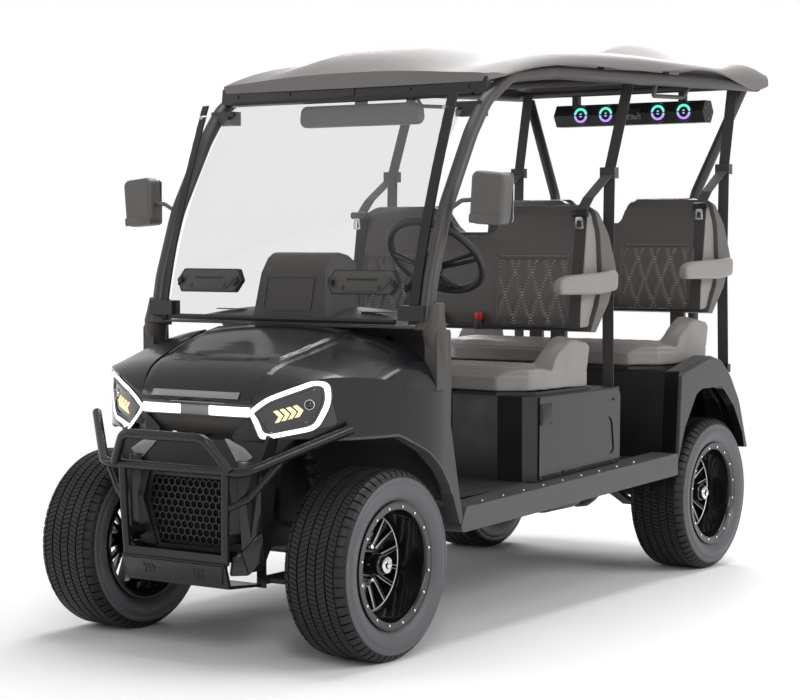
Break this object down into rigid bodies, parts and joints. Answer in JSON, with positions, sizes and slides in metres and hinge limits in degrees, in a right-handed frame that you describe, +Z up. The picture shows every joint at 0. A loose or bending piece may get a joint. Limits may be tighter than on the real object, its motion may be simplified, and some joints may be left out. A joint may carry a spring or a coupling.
{
  "type": "golf cart",
  "caption": "Four-seat golf cart with a roof, windscreen, tubular brush guard and forward-facing benches; it steers, rolls and its seat lids lift.",
  "frame": {"origin": "on the ground under the middle of the overall length and width", "axes": "+X to the cart's left side, +Y to its rear, +Z up"},
  "size_m": [1.564, 3.118, 2.0944],
  "materials": {
    "frame_black": "satin",
    "cast_grey": "cast",
    "battery_case": "moulded",
    "bright_steel": "turned",
    "grip_black": "fine grain",
    "trim_plastic": "fine grain",
    "floor_rubber": "ribbed",
    "body_paint": "metallic gloss",
    "lamp_lens": "clear gloss",
    "satin_black": "satin",
    "tube_grey": "textured powder coat",
    "roof_grey": "leather grain",
    "clear_screen": "clear",
    "seat_vinyl": "stitched vinyl",
    "tail_lens": "clear gloss",
    "tyre_rubber": "moulded",
    "rim_black": "gloss with machined edges",
    "webbing": "woven",
    "buckle_red": "moulded"
  },
  "bodies": {
    "root": {"chassis_frame": "frame_black", "rear_axle": "frame_black", "motor_block": "cast_grey", "battery_block": "battery_case", "rear_suspension": "frame_black", "front_arms": "frame_black", "front_dampers": "frame_black", "steering_rack": "frame_black", "steering_column": "trim_plastic", "pedals": "frame_black", "floor_pan": "floor_rubber", "sills": "trim_plastic", "front_cowl": "body_paint", "hood_panel": "body_paint", "front_lamps": "lamp_lens", "front_fascia": "satin_black", "front_grille": "satin_black", "brush_guard": "satin_black", "dash_cowl": "trim_plastic", "display_pod": "satin_black", "canopy_frame": "tube_grey", "rear_struts": "tube_grey", "roof_panel": "roof_grey", "windscreen": "clear_screen", "screen_fittings": "satin_black", "mirrors": "satin_black", "front_seat_box": "satin_black", "front_seat_back": "seat_vinyl", "front_seat_shell": "satin_black", "rear_seat_back": "seat_vinyl", "rear_seat_shell": "satin_black", "armrests": "grip_black", "rear_body": "satin_black", "rear_bumper": "satin_black", "tail_lamps": "tail_lens", "soundbar": "satin_black", "front_flares": "trim_plastic", "roof_header": "satin_black", "screen_vents": "satin_black", "seat_box_sides": "body_paint", "seat_belts": "webbing", "belt_buckles": "buckle_red", "rear_fenders": "body_paint"},
    "steering_wheel": {"steering_wheel": "grip_black"},
    "knuckle_left": {"knuckle_left": "cast_grey"},
    "knuckle_right": {"knuckle_right": "cast_grey"},
    "tie_rods": {"tie_rods": "bright_steel"},
    "front_lid": {"front_cushion": "seat_vinyl", "front_seat_pan": "satin_black"},
    "rear_lid": {"rear_cushion": "seat_vinyl", "rear_seat_pan": "satin_black"},
    "wheel_front_left": {"tyre_front_left": "tyre_rubber", "rim_front_left": "rim_black"},
    "wheel_front_right": {"tyre_front_right": "tyre_rubber", "rim_front_right": "rim_black"},
    "wheel_rear_left": {"tyre_rear_left": "tyre_rubber", "rim_rear_left": "rim_black"},
    "wheel_rear_right": {"tyre_rear_right": "tyre_rubber", "rim_rear_right": "rim_black"}
  },
  "joints": [
    {"name": "steer_left", "type": "hinge", "parent": "root", "child": "knuckle_left", "pos_m": [0.405, -1.168, 0.292], "axis": [0, 0, 1], "range_deg": [-26, 26]},
    {"name": "steer_right", "type": "hinge", "parent": "root", "child": "knuckle_right", "pos_m": [-0.405, -1.168, 0.292], "axis": [0, 0, 1], "range_deg": [-26, 26]},
    {"name": "tie_rod_slide", "type": "slide", "parent": "root", "child": "tie_rods", "axis": [1, 0, 0], "range_m": [-0.05, 0.05]},
    {"name": "steering_wheel_turn", "type": "hinge", "parent": "root", "child": "steering_wheel", "pos_m": [0.24, -0.409, 1.222], "axis": [0, 0.688, 0.7257], "range_deg": [-320, 320]},
    {"name": "front_lid_lift", "type": "hinge", "parent": "root", "child": "front_lid", "pos_m": [0, 0.191, 0.7423], "axis": [-1, 0, 0], "range_deg": [0, 30]},
    {"name": "rear_lid_lift", "type": "hinge", "parent": "root", "child": "rear_lid", "pos_m": [0, 1.146, 0.7823], "axis": [-1, 0, 0], "range_deg": [0, 30]},
    {"name": "spin_front_left", "type": "hinge", "parent": "knuckle_left", "child": "wheel_front_left", "pos_m": [0.4935, -1.168, 0.292], "axis": [1, 0, 0], "continuous": true},
    {"name": "spin_front_right", "type": "hinge", "parent": "knuckle_right", "child": "wheel_front_right", "pos_m": [-0.4935, -1.168, 0.292], "axis": [1, 0, 0], "continuous": true},
    {"name": "spin_rear_left", "type": "hinge", "parent": "root", "child": "wheel_rear_left", "pos_m": [0.4935, 1.006, 0.292], "axis": [1, 0, 0], "continuous": true},
    {"name": "spin_rear_right", "type": "hinge", "parent": "root", "child": "wheel_rear_right", "pos_m": [-0.4935, 1.006, 0.292], "axis": [1, 0, 0], "continuous": true}
  ],
  "couplings": [
    {"joint": "steer_right", "follows": "steer_left", "ratio": 1},
    {"joint": "tie_rod_slide", "follows": "steer_left", "m_per_rad": -0.1},
    {"joint": "steering_wheel_turn", "follows": "steer_left", "ratio": 12}
  ]
}
